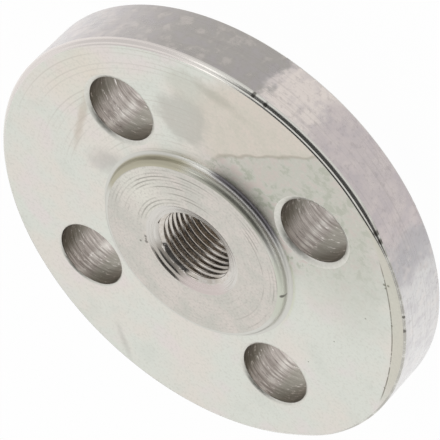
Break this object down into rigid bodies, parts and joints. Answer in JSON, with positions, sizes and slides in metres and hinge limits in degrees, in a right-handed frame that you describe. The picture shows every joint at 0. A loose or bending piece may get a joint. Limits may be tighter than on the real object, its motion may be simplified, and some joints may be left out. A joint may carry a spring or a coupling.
{
  "type": "threaded flange",
  "caption": "Round steel pipe flange with a raised sealing face, a short hub, a tapped bore for a threaded pipe and bolt holes round it.",
  "frame": {"origin": "centre of the hub's end face, which is the lowest point of the part", "axes": "+Z along the bore, out of the raised face; the bolt holes lie midway between the X and Y axes"},
  "size_m": [0.09, 0.09, 0.02],
  "materials": {
    "zinc_plated_steel": "turned steel with bright zinc plating, clear passivated, satin"
  },
  "bodies": {
    "root": {"flange": "zinc_plated_steel"}
  },
  "joints": []
}
